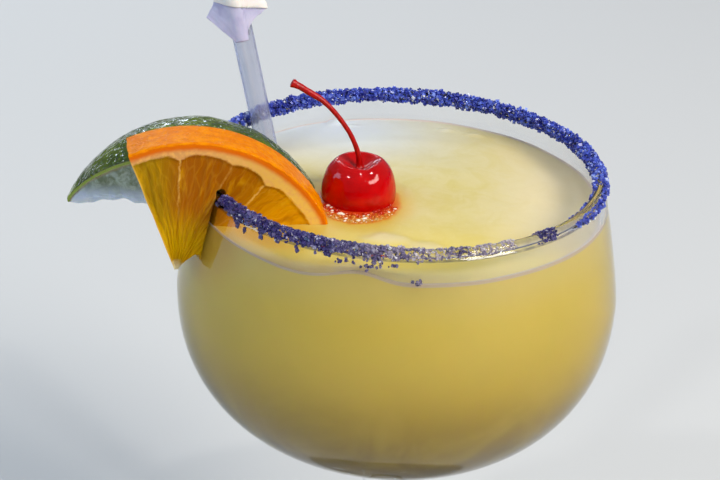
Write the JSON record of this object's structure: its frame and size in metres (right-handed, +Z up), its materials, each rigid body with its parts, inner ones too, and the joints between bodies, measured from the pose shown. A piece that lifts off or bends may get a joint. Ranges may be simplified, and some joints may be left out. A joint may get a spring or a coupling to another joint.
{
  "type": "margarita in a stemmed bowl glass",
  "caption": "Frozen-style margarita in a round-bowled stem glass with a blue salt rim, orange and lime wedges, a cherry and a wrapped straw.",
  "frame": {"origin": "centre of the foot's flat underside, on the table", "axes": "+Z up the stem; -Y towards the drinker, who sees the orange wedge on the left; +X to the drinker's right"},
  "size_m": [0.1513, 0.1204, 0.3004],
  "materials": {
    "glass": "clear, polished",
    "drink": "opaque pale yellow liquid",
    "salt": "coarse cobalt blue crystals",
    "orange": "pebbly peel, wet flesh",
    "lime": "glossy peel, wet pale flesh",
    "cherry": "syrup-wet red skin",
    "cherry_stem": "dyed red, satin",
    "straw": "translucent, frosted",
    "paper": "thin white wrapper paper"
  },
  "bodies": {
    "root": {"glass": "glass", "drink": "drink", "salt_rim_back": "salt", "salt_rim_front": "salt", "salt_rim_patch": "salt", "orange_wedge": "orange", "lime_wedge": "lime", "cherry": "cherry", "cherry_stem": "cherry_stem", "straw": "straw", "straw_wrapper": "paper"}
  },
  "joints": []
}
